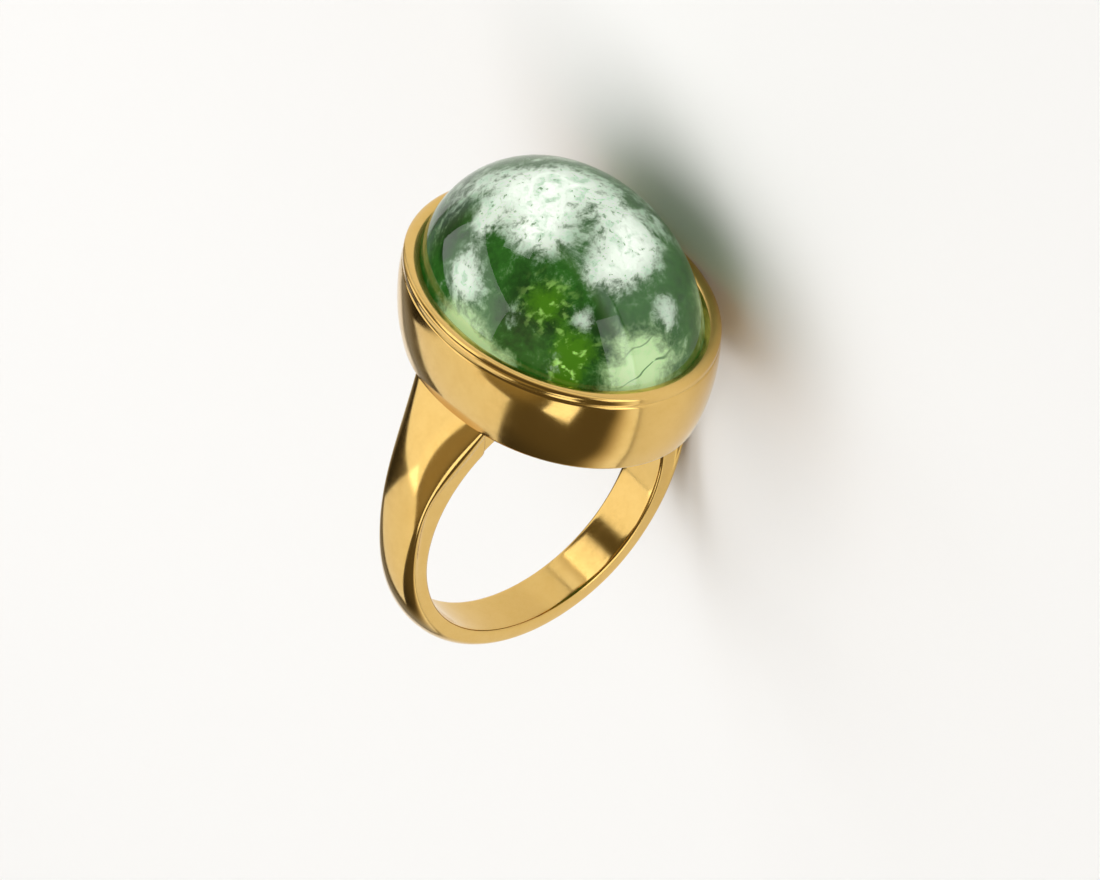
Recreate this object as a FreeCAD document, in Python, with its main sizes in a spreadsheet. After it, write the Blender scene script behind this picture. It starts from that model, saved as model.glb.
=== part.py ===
"""Cabochon ring: an oval, high-domed stone in a bezel cup on a domed band.

All sizes are in millimetres and live in the spreadsheet "dims". The ring is drawn upright: the
finger axis is Y, the stone looks up along +Z and the middle of the finger hole is the origin. Its
two pieces are then laid down on one side, the way a ring comes to rest on a table.
"""

import FreeCAD, Part
import math
import os

SHEET = "dims"

# Driving sizes: name, value in mm or degrees, what it is.
SIZES = [
    ("finger_radius", 8.65, "finger hole, 17.3 mm across"),
    ("band_width", 3.2, "between the band's flat sides"),
    ("bridge_width", 2.9, "block that joins band and cup, along the finger"),
    ("bridge_length", 13.4, "block that joins band and cup, across the hand"),
    ("bridge_bottom_up", 7.4, "underside of that block"),
    ("bridge_top_up", 10.7, "top of that block"),
    ("hole_break_wide", 0.3, "broken edge of the finger hole, along the finger"),
    ("hole_break_deep", 0.25, "broken edge of the finger hole, outwards"),
    ("stone_width", 15.0, "stone across the hand"),
    ("stone_length", 20.0, "stone along the finger"),
    ("stone_dome", 8.95, "dome above the girdle"),
    ("stone_base", 1.3, "flat back below the girdle"),
    ("girdle_up", 14.2, "girdle above the finger's centre"),
    ("stone_gap", 0.08, "air between stone and gold"),
    ("gallery_width", 12.6, "open back under the stone, across the hand"),
    ("gallery_length", 17.7, "open back under the stone, along the finger"),
    ("lip_bottom_up", 15.7, "foot of the bevel that runs down to the stone"),
    ("lip_top_up", 16.25, "where that bevel's cutter ends, above the rim"),
    ("lip_bottom_inset", 1.2, "foot of the bevel, inside the crease oval"),
    ("lip_top_inset", 0.44, "top of the bevel's cutter, inside the crease oval"),
    ("crease_width", 17.0, "oval at the crease under the rim, across the hand"),
    ("crease_length", 21.3, "oval at the crease under the rim, along the finger"),
    ("rest_tilt", 98.56, "turn about the finger axis, onto one arm and the cup's long side"),
    ("rest_turn", -90.0, "turn about the upright that brings the stone to the front"),
]

# The bezel's outline, from the bottom up: height, and how far inside the crease oval it runs.
BEZEL = [
    ("foot", 10.25, 0.66),
    ("base", 10.4, 0.48),
    ("wall_low", 11.4, 0.2),
    ("wall_mid", 12.6, 0.0),
    ("wall_full", 13.8, -0.09),
    ("wall_high", 14.8, -0.08),
    ("crease", 15.4, 0.0),
    ("groove", 15.46, 0.09),
    ("bead_low", 15.58, -0.02),
    ("bead_mid", 15.85, 0.02),
    ("bead_high", 16.05, 0.18),
    ("bead_top", 16.14, 0.42),
]

# The band, a row for each section from the bottom to the cup: place of the section's centre
# across and up, turn from straight down, half thickness and half width of its domed outside, and
# how far its flat sides run inwards from the centre.
BAND = [
    ("sole", 0.0, -9.3, 0.0, 0.85, 1.6, 1.1),
    ("quarter", 6.0, -7.15, 40.0, 0.83, 1.61, 1.13),
    ("flank", 9.14, -2.45, 75.0, 0.8, 1.65, 1.26),
    ("waist", 9.85, 1.04, 96.0, 0.6, 1.76, 1.7),
    ("neck", 9.48, 5.0, 104.0, 0.6, 2.08, 3.0),
    ("shoulder", 8.14, 8.0, 108.0, 1.04, 2.8, 2.8),
    ("root", 7.1, 10.65, 104.0, 0.76, 3.45, 0.7),
]
BAND_COLUMNS = [
    ("out", "place across"),
    ("up", "place up"),
    ("turn", "turn"),
    ("thick", "half thickness of the dome"),
    ("wide", "half width of the dome"),
    ("deep", "reach of the flat sides"),
]


def make_sheet(doc):
    """Write every driving size into the spreadsheet and give its cell a name."""
    sheet = doc.addObject("Spreadsheet::Sheet", SHEET)
    rows = [(name, value, note) for name, value, note in SIZES]
    for name, up, inset in BEZEL:
        rows.append((name + "_up", up, "bezel outline: height of the " + name))
        rows.append((name + "_inset", inset, "bezel outline: inset of the " + name))
    for name, *values in BAND:
        for (column, note), value in zip(BAND_COLUMNS, values):
            rows.append((name + "_" + column, value, "band section %s: %s" % (name, note)))
    for number, (name, value, note) in enumerate(rows, start=1):
        sheet.set("A%d" % number, note)
        sheet.set("B%d" % number, str(value))
        sheet.setAlias("B%d" % number, name)
    for number, name in enumerate(("rest_x", "rest_y", "rest_z"), start=len(rows) + 1):
        sheet.set("A%d" % number, "place of the resting ring, worked out below: " + name)
        sheet.set("B%d" % number, "0")
        sheet.setAlias("B%d" % number, name)
    doc.recompute()
    return sheet


def bind(thing, **expressions):
    """Tie properties of one object to the sheet. A double underscore stands for a dot."""
    for name, expression in expressions.items():
        thing.setExpression(name.replace("__", "."), expression)


def boolean(doc, kind, name, base, tool):
    """One Part boolean of two objects."""
    result = doc.addObject(kind, name)
    result.Base = base
    result.Tool = tool
    result.Refine = True
    return result


def oval(doc, name, long_half, short_half, up):
    """A level oval, long along the finger."""
    ring = doc.addObject("Part::Ellipse", name)
    bind(
        ring,
        MajorRadius=long_half,
        MinorRadius=short_half,
        Placement="placement(vector(0; 0; %s); rotation(vector(0; 0; 1); 90))" % up,
    )
    return ring


def loft(doc, name, sections, ruled):
    """A closed solid through the given sections."""
    body = doc.addObject("Part::Loft", name)
    body.Sections = sections
    body.Solid = True
    body.Ruled = ruled
    return body


def crease_oval(doc, name, up, inset):
    """An oval that runs the given inset inside the crease under the rim."""
    return oval(
        doc,
        name,
        "{0}.crease_length / 2 - {1}".format(SHEET, inset),
        "{0}.crease_width / 2 - {1}".format(SHEET, inset),
        up,
    )


def make_bezel(doc):
    """The cup's outside: a wall that leans out, a thin crease and a rounded bead."""
    sections = []
    for name, _, _ in BEZEL:
        cell = SHEET + "." + name
        sections.append(crease_oval(doc, "bezel_" + name, cell + "_up", cell + "_inset"))
    return loft(doc, "bezel_outside", sections, True)


def band_section(doc, sheet, row, side):
    """One section of the band, on the arm at the given side.

    It is a wire of three straight edges, the flat sides and the inside, closed by the arc of an
    ellipse over the outside. Where the ellipse is wider than the band, it bulges past the sides.
    """
    size = {column: float(sheet.get(row + "_" + column)) for column, _ in BAND_COLUMNS}
    half_width = float(sheet.get("band_width")) / 2
    sweep = math.acos(min(1.0, half_width / size["wide"]))
    corner = -size["thick"] * math.sin(sweep)
    dome = Part.Ellipse(FreeCAD.Vector(), size["wide"], size["thick"])
    right_corner = FreeCAD.Vector(half_width, corner, 0)
    left_corner = FreeCAD.Vector(-half_width, corner, 0)
    right_foot = FreeCAD.Vector(half_width, -size["deep"], 0)
    left_foot = FreeCAD.Vector(-half_width, -size["deep"], 0)
    edges = [
        Part.LineSegment(left_foot, right_foot).toShape(),
        Part.LineSegment(right_foot, right_corner).toShape(),
        Part.Arc(dome, -sweep, math.pi + sweep).toShape(),
        Part.LineSegment(left_corner, left_foot).toShape(),
    ]
    turn = math.radians(size["turn"])
    outwards = FreeCAD.Vector(side * math.sin(turn), 0, -math.cos(turn))
    along = FreeCAD.Vector(0, 1, 0)
    section = doc.addObject("Part::Feature", "band_%s_%s" % (row, "right" if side > 0 else "left"))
    section.Shape = Part.Wire(edges)
    section.Placement = FreeCAD.Placement(
        FreeCAD.Vector(side * size["out"], 0, size["up"]),
        FreeCAD.Rotation(along, outwards, along.cross(outwards)),
    )
    return section


def make_band(doc, sheet):
    """The band and its shoulders, one loft from the left root through the sole to the right."""
    names = [row[0] for row in BAND]
    left = [band_section(doc, sheet, name, -1) for name in reversed(names[1:])]
    right = [band_section(doc, sheet, name, 1) for name in names]
    return loft(doc, "band", left + right, False)


def make_finger(doc):
    """The cylinder that a finger fills."""
    finger = doc.addObject("Part::Cylinder", "finger")
    bind(
        finger,
        Radius="{0}.finger_radius".format(SHEET),
        Height="{0}.crease_length".format(SHEET),
        Placement="placement(vector(0; {0}.crease_length / 2; 0); "
        "rotation(vector(1; 0; 0); 90))".format(SHEET),
    )
    return finger


def hole_break(doc, name, side):
    """The cone that breaks one edge of the finger hole. It opens towards the given side."""
    cone = doc.addObject("Part::Cone", name)
    start = "{0}.band_width / 2 - {0}.hole_break_wide".format(SHEET)
    bind(
        cone,
        Radius1="{0}.finger_radius".format(SHEET),
        Radius2="{0}.finger_radius + 2 * {0}.hole_break_deep".format(SHEET),
        Height="2 * {0}.hole_break_wide".format(SHEET),
        Placement="placement(vector(0; %d * (%s); 0); rotation(vector(1; 0; 0); %d))"
        % (side, start, -90 * side),
    )
    return cone


def make_pocket(doc):
    """The space for the stone: the stone's own oval, larger by the gap, with a flat floor."""
    blank = doc.addObject("Part::Ellipsoid", "pocket_blank")
    bind(
        blank,
        Radius1="{0}.stone_dome + {0}.stone_gap".format(SHEET),
        Radius2="{0}.stone_width / 2 + {0}.stone_gap".format(SHEET),
        Radius3="{0}.stone_length / 2 + {0}.stone_gap".format(SHEET),
        Placement__Base__z="{0}.girdle_up".format(SHEET),
    )
    floor = under_stone(doc, "pocket_floor", "{0}.stone_base + {0}.stone_gap".format(SHEET))
    return boolean(doc, "Part::Cut", "pocket", blank, floor)


def under_stone(doc, name, depth):
    """A block whose top lies the given depth below the girdle."""
    block = doc.addObject("Part::Box", name)
    bind(
        block,
        Length="2 * {0}.stone_width".format(SHEET),
        Width="2 * {0}.stone_length".format(SHEET),
        Height="{0}.girdle_up".format(SHEET),
        Placement="placement(vector(-{0}.stone_width; -{0}.stone_length; -({1})); "
        "rotation(vector(0; 0; 1); 0))".format(SHEET, depth),
    )
    return block


def make_gallery(doc):
    """The open back under the stone, cut through the cup before the band is added."""
    rim = oval(
        doc,
        "gallery_oval",
        "{0}.gallery_length / 2".format(SHEET),
        "{0}.gallery_width / 2".format(SHEET),
        "{0}.foot_up - {0}.stone_gap".format(SHEET),
    )
    gallery = doc.addObject("Part::Extrusion", "gallery")
    gallery.Base = rim
    gallery.Dir = FreeCAD.Vector(0, 0, 1)
    gallery.DirMode = "Custom"
    gallery.Solid = True
    bind(gallery, LengthFwd="{0}.girdle_up - {0}.foot_up".format(SHEET))
    return gallery


def make_lip(doc):
    """The cutter for the narrow bevel between the rim and the stone."""
    cell = SHEET + ".lip_"
    low = crease_oval(doc, "lip_low", cell + "bottom_up", cell + "bottom_inset")
    high = crease_oval(doc, "lip_high", cell + "top_up", cell + "top_inset")
    return loft(doc, "lip", [low, high], True)


def make_bridge(doc):
    """The block that closes the band at the top and joins it to the foot of the cup."""
    bridge = doc.addObject("Part::Box", "bridge")
    bind(
        bridge,
        Length="{0}.bridge_length".format(SHEET),
        Width="{0}.bridge_width".format(SHEET),
        Height="{0}.bridge_top_up - {0}.bridge_bottom_up".format(SHEET),
        Placement="placement(vector(-{0}.bridge_length / 2; -{0}.bridge_width / 2; "
        "{0}.bridge_bottom_up); rotation(vector(0; 0; 1); 0))".format(SHEET),
    )
    return bridge


def make_mount(doc, sheet):
    """The gold mount, one soldered solid: band, shoulders and bezel cup."""
    cup = boolean(doc, "Part::Cut", "cup", make_bezel(doc), make_gallery(doc))
    hoop = boolean(doc, "Part::Fuse", "hoop", make_band(doc, sheet), make_bridge(doc))
    joined = boolean(doc, "Part::Fuse", "joined", cup, hoop)
    finger_hole = doc.addObject("Part::MultiFuse", "finger_hole")
    finger_hole.Shapes = [
        make_finger(doc),
        hole_break(doc, "hole_break_near", -1),
        hole_break(doc, "hole_break_far", 1),
    ]
    bored = boolean(doc, "Part::Cut", "bored", joined, finger_hole)
    seated = boolean(doc, "Part::Cut", "seated", bored, make_pocket(doc))
    mount = boolean(doc, "Part::Cut", "ring_mount", seated, make_lip(doc))
    mount.Label = "ring_mount"
    return mount


def make_stone(doc):
    """The cabochon: the upper part of an ellipsoid on a flat back."""
    blank = doc.addObject("Part::Ellipsoid", "stone_blank")
    bind(
        blank,
        Radius1="{0}.stone_dome".format(SHEET),
        Radius2="{0}.stone_width / 2".format(SHEET),
        Radius3="{0}.stone_length / 2".format(SHEET),
        Placement__Base__z="{0}.girdle_up".format(SHEET),
    )
    back = under_stone(doc, "stone_back", "{0}.stone_base".format(SHEET))
    stone = boolean(doc, "Part::Cut", "cabochon", blank, back)
    stone.Label = "cabochon"
    return stone


def lay_down(doc, sheet, pieces):
    """Turn the pieces onto their side and bring the lowest point to the middle of the floor."""
    place = (
        "placement(vector({0}.rest_x; {0}.rest_y; {0}.rest_z); "
        "rotation(vector(0; 0; 1); {0}.rest_turn) * rotation(vector(0; 1; 0); {0}.rest_tilt))"
    )
    for piece in pieces:
        bind(piece, Placement=place.format(SHEET))
    doc.recompute()
    box = FreeCAD.BoundBox()
    for piece in pieces:
        box.add(piece.Shape.optimalBoundingBox(False, False))
    sheet.set("rest_x", str(-box.Center.x))
    sheet.set("rest_y", str(-box.Center.y))
    sheet.set("rest_z", str(-box.ZMin))
    doc.recompute()


def check(doc, pieces):
    """Stop if an object failed or a piece is not one valid solid."""
    for thing in doc.Objects:
        if {"Invalid", "Error"} & set(thing.State):
            raise RuntimeError("%s failed: %s" % (thing.Name, thing.State))
    for piece in pieces:
        shape = piece.Shape
        if shape.isNull() or not shape.isValid() or len(shape.Solids) != 1:
            raise RuntimeError("%s is not one valid solid" % piece.Label)


def main():
    """Build the ring and write one STEP file for each piece."""
    doc = FreeCAD.newDocument("cabochon_ring")
    sheet = make_sheet(doc)
    pieces = [make_mount(doc, sheet), make_stone(doc)]
    lay_down(doc, sheet, pieces)
    check(doc, pieces)
    os.makedirs("parts", exist_ok=True)
    for piece in pieces:
        piece.Shape.exportStep("parts/%s.step" % piece.Label)
        print(piece.Label, "volume %.1f mm3" % piece.Shape.Volume)
    gap = pieces[0].Shape.distToShape(pieces[1].Shape)[0]
    print("gap between stone and gold %.3f mm" % gap)


main()
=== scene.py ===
"""Looks of the cabochon ring: a green stone with pale clouds in a polished gold bezel cup.

The gold and the stone are drawn upright in millimetres, with the finger axis along Y and the stone
up along +Z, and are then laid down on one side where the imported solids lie.
"""

from __future__ import annotations

import logging
import math
from collections.abc import Sequence
from dataclasses import dataclass, field
from enum import Enum

import bmesh
import bpy
import numpy as np
from mathutils import Euler, Matrix, Vector

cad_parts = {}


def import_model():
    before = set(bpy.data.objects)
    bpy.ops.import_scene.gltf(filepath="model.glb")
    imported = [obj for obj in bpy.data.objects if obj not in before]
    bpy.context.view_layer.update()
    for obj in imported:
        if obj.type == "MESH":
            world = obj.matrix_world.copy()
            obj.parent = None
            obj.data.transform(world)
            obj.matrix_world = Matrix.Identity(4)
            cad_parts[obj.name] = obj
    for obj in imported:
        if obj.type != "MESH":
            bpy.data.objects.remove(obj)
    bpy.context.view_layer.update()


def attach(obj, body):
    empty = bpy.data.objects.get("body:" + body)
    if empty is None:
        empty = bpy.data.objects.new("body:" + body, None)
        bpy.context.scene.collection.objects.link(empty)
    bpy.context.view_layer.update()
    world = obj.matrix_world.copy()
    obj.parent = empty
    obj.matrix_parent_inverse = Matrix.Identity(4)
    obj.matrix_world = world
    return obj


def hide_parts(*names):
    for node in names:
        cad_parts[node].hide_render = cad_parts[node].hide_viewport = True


LOG = logging.getLogger("cabochon_ring")
MM = 0.001
BODY = "root"
SWEEP_WELD_MM = 0.0005
PIECE_WELD_MM = 0.0002

Socket = bpy.types.NodeSocket
Span = tuple[float, float]
Triple = tuple[float, float, float]
Colour = tuple[float, float, float, float]


class Slot(Enum):
    """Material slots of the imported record."""

    GOLD = "gold"
    STONE = "green_stone"


class Node(Enum):
    """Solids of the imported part."""

    MOUNT = "ring_mount"
    STONE = "cabochon"


@dataclass(frozen=True)
class RestPose:
    """Where the resting ring lies, as turns in degrees and the finger hole's centre in mm."""

    tilt: float = 98.56
    turn: float = -90.0
    hole_centre: Triple = (0.0, 6.407886, 10.745386)

    def turned(self) -> Euler:
        """Return the turn from the upright ring to the resting one."""
        matrix = Matrix.Rotation(math.radians(self.turn), 3, "Z") @ Matrix.Rotation(
            math.radians(self.tilt), 3, "Y"
        )
        return matrix.to_euler()

    def matrix(self) -> Matrix:
        """Return the map from upright millimetres to resting metres."""
        place = Matrix.Translation(Vector(self.hole_centre) * MM)
        return place @ self.turned().to_matrix().to_4x4() @ Matrix.Scale(MM, 4)


POSE = RestPose()


def smooth_curve(
    knots: Sequence[float], values: Sequence[float], at: Sequence[float]
) -> np.ndarray:
    """Evaluate the natural cubic curve through some values.

    Args:
        knots: rising parameters of the values.
        values: values to pass through.
        at: parameters to evaluate.

    Returns:
        One value for each parameter.
    """
    x = np.asarray(knots, float)
    y = np.asarray(values, float)
    size = len(x)
    gap = np.diff(x)
    slope = np.diff(y) / gap
    system = np.eye(size)
    right = np.zeros(size)
    for i in range(1, size - 1):
        system[i, i - 1 : i + 2] = gap[i - 1], 2 * (gap[i - 1] + gap[i]), gap[i]
        right[i] = 6 * (slope[i] - slope[i - 1])
    bend = np.linalg.solve(system, right)
    t = np.asarray(at, float)
    cell = np.clip(np.searchsorted(x, t) - 1, 0, size - 2)
    a = (x[cell + 1] - t) / gap[cell]
    b = (t - x[cell]) / gap[cell]
    lift = (a**3 - a) * bend[cell] + (b**3 - b) * bend[cell + 1]
    return a * y[cell] + b * y[cell + 1] + lift * gap[cell] ** 2 / 6


def rounded_path(
    corners: Sequence[tuple[Vector, float]], step: float, arc_steps: int = 5
) -> list[Vector]:
    """Join corners with straight runs and round each corner.

    Args:
        corners: places, each with the length that its rounding takes from both runs.
        step: longest run between two points.
        arc_steps: pieces of each rounding.

    Returns:
        Points from the first corner to the last.
    """
    path: list[Vector] = []
    for i, (corner, reach) in enumerate(corners):
        if reach <= 0 or i in (0, len(corners) - 1):
            bend = [corner.copy()]
        else:
            before = corner.lerp(corners[i - 1][0], reach / (corners[i - 1][0] - corner).length)
            after = corner.lerp(corners[i + 1][0], reach / (corners[i + 1][0] - corner).length)
            bend = []
            for k in range(arc_steps + 1):
                s = k / arc_steps
                bend.append(before.lerp(corner, s).lerp(corner.lerp(after, s), s))
        if path:
            run = bend[0] - path[-1]
            pieces = max(1, math.ceil(run.length / step))
            start = path[-1]
            path += [start + run * (k / pieces) for k in range(1, pieces)]
        path += bend
    return path


@dataclass(frozen=True)
class Noise:
    """A noise: its scale per mm, its octaves, their roughness and its distortion."""

    scale: float
    detail: float
    roughness: float = 0.5
    distortion: float = 0.0


class Graph:
    """A node tree with short calls for adding and joining nodes."""

    def __init__(self, tree: bpy.types.NodeTree) -> None:
        """Keep the tree.

        Args:
            tree: tree that the nodes go into.
        """
        self.tree = tree

    def node(
        self, kind: str, settings: dict[str, object] | None = None, **inputs: object
    ) -> bpy.types.Node:
        """Add a node.

        Args:
            kind: Blender's name for the node's type.
            settings: plain settings of the node.
            inputs: values or output sockets, by socket name with _ for a space.

        Returns:
            The new node.
        """
        made = self.tree.nodes.new(kind)
        for name, value in (settings or {}).items():
            setattr(made, name, value)
        self.feed(made, **inputs)
        return made

    def feed(self, node: bpy.types.Node, **inputs: object) -> None:
        """Set or link some inputs of a node.

        Args:
            node: node that has the inputs.
            inputs: values or output sockets, by socket name with _ for a space.
        """
        for name, value in inputs.items():
            socket = self._socket(node, name)
            if isinstance(value, Socket):
                self.tree.links.new(value, socket)
            else:
                socket.default_value = value

    @staticmethod
    def _socket(node: bpy.types.Node, name: str) -> Socket:
        """Find an enabled input by name, or by place for names such as in_0.

        Args:
            node: node that has the input.
            name: name of the input, with _ for a space.

        Returns:
            The input.

        Raises:
            KeyError: the node has no such input.
        """
        if name.startswith("in_"):
            return node.inputs[int(name[3:])]
        plain = name.replace("_", " ")
        for socket in node.inputs:
            if socket.enabled and socket.name == plain:
                return socket
        raise KeyError(f"{node.bl_idname} has no input {plain}")

    def math(
        self,
        operation: str,
        first: Socket | float,
        second: Socket | float = 0.0,
        third: Socket | float = 0.0,
    ) -> Socket:
        """Add a Math node.

        Args:
            operation: Blender's name for the operation.
            first: first value.
            second: second value, where the operation takes one.
            third: third value, where the operation takes one.

        Returns:
            The result.
        """
        made = self.node(
            "ShaderNodeMath", {"operation": operation}, in_0=first, in_1=second, in_2=third
        )
        return made.outputs[0]

    def ramp(self, value: Socket, low: float, high: float) -> Socket:
        """Step smoothly from 0 to 1 between two limits.

        Args:
            value: value to step.
            low: limit where the step is 0.
            high: limit where the step is 1, which may be the lower one.

        Returns:
            The step.
        """
        made = self.node(
            "ShaderNodeMapRange",
            {"interpolation_type": "SMOOTHSTEP"},
            Value=value,
            From_Min=low,
            From_Max=high,
        )
        return made.outputs[0]

    def blend(
        self, mask: Socket | float, first: Socket | Colour, second: Socket | Colour
    ) -> Socket:
        """Mix two colours.

        Args:
            mask: share of the second colour.
            first: colour where the mask is 0.
            second: colour where the mask is 1.

        Returns:
            The mixed colour.
        """
        made = self.node(
            "ShaderNodeMix", {"data_type": "RGBA"}, in_0=mask, in_6=first, in_7=second
        )
        return made.outputs[2]

    def noise(self, place: Socket, look: Noise) -> Socket:
        """Add a noise texture.

        Args:
            place: place on the upright ring in mm.
            look: scale and character of the noise.

        Returns:
            The noise, from 0 to 1.
        """
        made = self.node(
            "ShaderNodeTexNoise",
            Vector=place,
            Scale=look.scale,
            Detail=look.detail,
            Roughness=look.roughness,
            Distortion=look.distortion,
        )
        return made.outputs[0]


class SoftPatch:
    """Shader group: a soft ball of influence around a place."""

    def __init__(self) -> None:
        """Build the group once."""
        tree = bpy.data.node_groups.new("soft_patch", "ShaderNodeTree")
        for name, kind in (
            ("Place", "NodeSocketVector"),
            ("Centre", "NodeSocketVector"),
            ("Radius", "NodeSocketFloat"),
        ):
            tree.interface.new_socket(name, in_out="INPUT", socket_type=kind)
        tree.interface.new_socket("Mask", in_out="OUTPUT", socket_type="NodeSocketFloat")
        graph = Graph(tree)
        given = graph.node("NodeGroupInput")
        away = graph.node(
            "ShaderNodeVectorMath",
            {"operation": "DISTANCE"},
            in_0=given.outputs["Place"],
            in_1=given.outputs["Centre"],
        )
        share = graph.math("DIVIDE", away.outputs["Value"], given.outputs["Radius"])
        graph.node("NodeGroupOutput", Mask=graph.ramp(share, 1.0, 0.0))
        self.tree = tree

    def mask(self, graph: Graph, place: Socket, patch: Patch) -> Socket:
        """Place the group in a graph.

        Args:
            graph: graph of a material.
            place: place on the upright ring in mm.
            patch: centre and radius of the ball.

        Returns:
            The influence, 1 at the centre and 0 at the radius.
        """
        made = graph.node(
            "ShaderNodeGroup",
            {"node_tree": self.tree},
            Place=place,
            Centre=patch.centre,
            Radius=patch.radius,
        )
        return made.outputs["Mask"]


@dataclass(frozen=True)
class Wear:
    """Marks of handling: least and most roughness, waves per mm and their depth in m."""

    smoothest: float
    haziest: float
    waves_per_mm: float
    wave_depth: float


class HandlingHaze:
    """Shader group: the faint waves and haze that polishing and handling leave."""

    broad: Noise = Noise(0.9, 6.0, 0.7)
    rubbed: Noise = Noise(9.0, 3.0)
    rubbed_share: float = 0.4
    haze_step: Span = (0.5, 0.95)

    def __init__(self) -> None:
        """Build the group once."""
        tree = bpy.data.node_groups.new("handling_haze", "ShaderNodeTree")
        for name, kind in (
            ("Place", "NodeSocketVector"),
            ("Smoothest", "NodeSocketFloat"),
            ("Haziest", "NodeSocketFloat"),
            ("Wave Size", "NodeSocketFloat"),
            ("Wave Depth", "NodeSocketFloat"),
        ):
            tree.interface.new_socket(name, in_out="INPUT", socket_type=kind)
        for name, kind in (
            ("Roughness", "NodeSocketFloat"),
            ("Haze", "NodeSocketFloat"),
            ("Normal", "NodeSocketVector"),
        ):
            tree.interface.new_socket(name, in_out="OUTPUT", socket_type=kind)
        graph = Graph(tree)
        given = graph.node("NodeGroupInput")
        place = given.outputs["Place"]
        broad = graph.noise(place, self.broad)
        rubbed = graph.noise(place, self.rubbed)
        mixed = graph.math("MULTIPLY_ADD", rubbed, self.rubbed_share, broad)
        mask = graph.ramp(mixed, *self.haze_step)
        spread = graph.math("SUBTRACT", given.outputs["Haziest"], given.outputs["Smoothest"])
        rough = graph.math("MULTIPLY_ADD", mask, spread, given.outputs["Smoothest"])
        wave = graph.node(
            "ShaderNodeTexNoise", Vector=place, Scale=given.outputs["Wave Size"], Detail=1.0
        )
        bump = graph.node(
            "ShaderNodeBump",
            Height=wave.outputs[0],
            Strength=1.0,
            Distance=given.outputs["Wave Depth"],
        )
        graph.node("NodeGroupOutput", Roughness=rough, Haze=mask, Normal=bump.outputs[0])
        self.tree = tree

    def add(self, graph: Graph, wear: Wear) -> bpy.types.Node:
        """Place the group in a graph.

        Args:
            graph: graph of a material.
            wear: how much handling shows.

        Returns:
            The node, with its roughness, haze and normal.
        """
        return graph.node(
            "ShaderNodeGroup",
            {"node_tree": self.tree},
            Place=ring_place(graph),
            Smoothest=wear.smoothest,
            Haziest=wear.haziest,
            Wave_Size=wear.waves_per_mm,
            Wave_Depth=wear.wave_depth,
        )


def new_material(name: str) -> tuple[bpy.types.Material, Graph, bpy.types.Node]:
    """Make a material.

    Args:
        name: name of the material.

    Returns:
        The material, its graph and its Principled node.
    """
    material = bpy.data.materials.new(name)
    material.use_nodes = True
    graph = Graph(material.node_tree)
    return material, graph, material.node_tree.nodes["Principled BSDF"]


def ring_place(graph: Graph) -> Socket:
    """Find the place on the upright ring in mm, from Object coordinates.

    Args:
        graph: graph of a material.

    Returns:
        The place.
    """
    coords = graph.node("ShaderNodeTexCoord")
    turned = graph.node(
        "ShaderNodeMapping",
        {"vector_type": "TEXTURE"},
        Vector=coords.outputs["Object"],
        Location=Vector(POSE.hole_centre) * MM,
        Rotation=POSE.turned(),
        Scale=(MM, MM, MM),
    )
    return turned.outputs[0]


@dataclass(frozen=True)
class PolishedGold:
    """Warm yellow gold, mirror polished with faint handling haze."""

    base: Colour = (0.76, 0.51, 0.17, 1.0)
    deep: Colour = (0.73, 0.475, 0.145, 1.0)
    wear: Wear = Wear(0.1, 0.16, 0.35, 0.00001)

    def build(self, haze: HandlingHaze) -> bpy.types.Material:
        """Make the material.

        Args:
            haze: group of the handling marks.

        Returns:
            The gold.
        """
        material, graph, shader = new_material("polished_gold")
        worn = haze.add(graph, self.wear)
        graph.feed(
            shader,
            Base_Color=graph.blend(worn.outputs["Haze"], self.base, self.deep),
            Roughness=worn.outputs["Roughness"],
            Normal=worn.outputs["Normal"],
            Metallic=1.0,
        )
        return material


@dataclass(frozen=True)
class ClearSkin:
    """The stone's clear, polished outer layer."""

    tint: Colour = (0.93, 0.98, 0.92, 1.0)
    hazy_gain: float = 1.02
    ior: float = 1.62
    wear: Wear = Wear(0.0, 0.03, 0.3, 0.000004)

    def build(self, haze: HandlingHaze) -> bpy.types.Material:
        """Make the material.

        Args:
            haze: group of the handling marks.

        Returns:
            The clear skin.
        """
        material, graph, shader = new_material("clear_green_skin")
        worn = haze.add(graph, self.wear)
        pale = tuple(min(1.0, part * self.hazy_gain) for part in self.tint)
        graph.feed(
            shader,
            Base_Color=graph.blend(worn.outputs["Haze"], self.tint, pale),
            Roughness=worn.outputs["Roughness"],
            Normal=worn.outputs["Normal"],
            Transmission_Weight=1.0,
            IOR=self.ior,
        )
        return material


@dataclass(frozen=True)
class Patch:
    """A soft region of the stone: its centre and radius in mm, and how much it adds."""

    centre: Triple
    radius: float
    weight: float


@dataclass(frozen=True)
class Canvas:
    """What the stone's layers are drawn with: graph, patches, place in mm and shared noises."""

    graph: Graph
    soft: SoftPatch
    place: Socket
    broad: Socket
    fine: Socket
    wisp: Socket
    mottle: Socket
    ripple: Socket

    def field(self, patches: Sequence[Patch]) -> Socket | float:
        """Add up some patches.

        Args:
            patches: patches to add.

        Returns:
            The sum.
        """
        total: Socket | float = 0.0
        for patch in patches:
            mask = self.soft.mask(self.graph, self.place, patch)
            total = self.graph.math("MULTIPLY_ADD", mask, patch.weight, total)
        return total


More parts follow.
